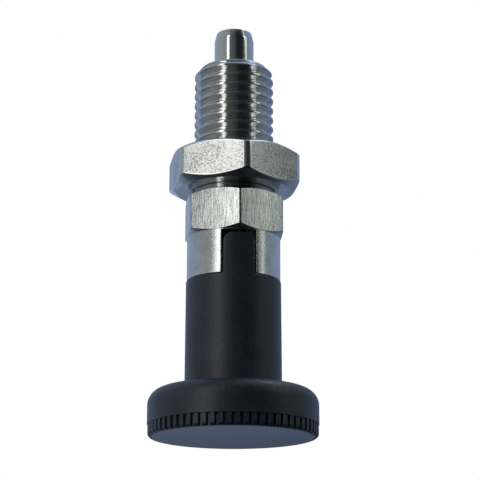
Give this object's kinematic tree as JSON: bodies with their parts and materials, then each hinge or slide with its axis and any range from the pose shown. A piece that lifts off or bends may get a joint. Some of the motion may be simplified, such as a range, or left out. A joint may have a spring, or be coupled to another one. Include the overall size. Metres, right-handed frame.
{
  "type": "indexing plunger",
  "caption": "Indexing plunger with a fine-threaded hexagon body, lock nut, sprung index pin and a lock-out mushroom knob.",
  "frame": {"origin": "on the plunger's axis, at the outer end face of the knob, which the part stands on", "axes": "+Z along the axis from the knob to the index pin; the guide slot, the knob's tongue and two of the collar's corners lie on the Y axis; +X completes a right-handed frame"},
  "size_m": [0.025, 0.025, 0.0622],
  "materials": {
    "body_stainless": "turned and drawn stainless steel, plain",
    "nut_stainless": "barrelled stainless steel, fine grain",
    "pin_stainless": "ground and polished stainless steel",
    "spring_wire": "drawn stainless spring wire",
    "knob_plastic": "glass-filled nylon, black-grey, fine matt texture",
    "cap_plastic": "moulded plastic, smooth satin",
    "fixing_steel": "plain stainless steel"
  },
  "bodies": {
    "housing": {"body": "body_stainless", "return_spring": "spring_wire"},
    "plunger": {"index_pin": "pin_stainless", "knob": "knob_plastic", "knob_washer": "fixing_steel", "knob_nut": "fixing_steel", "end_cap": "cap_plastic"},
    "nut": {"lock_nut": "nut_stainless"}
  },
  "joints": [
    {"name": "pull", "type": "slide", "parent": "housing", "child": "plunger", "axis": [0, 0, -1], "range_m": [0, 0.0065], "stiffness_N_per_m": 1007, "springref_m": -0.007, "deforming": ["return_spring"]},
    {"name": "nut_travel", "type": "slide", "parent": "housing", "child": "nut", "axis": [0, 0, 1], "range_m": [0, 0.0136]}
  ]
}
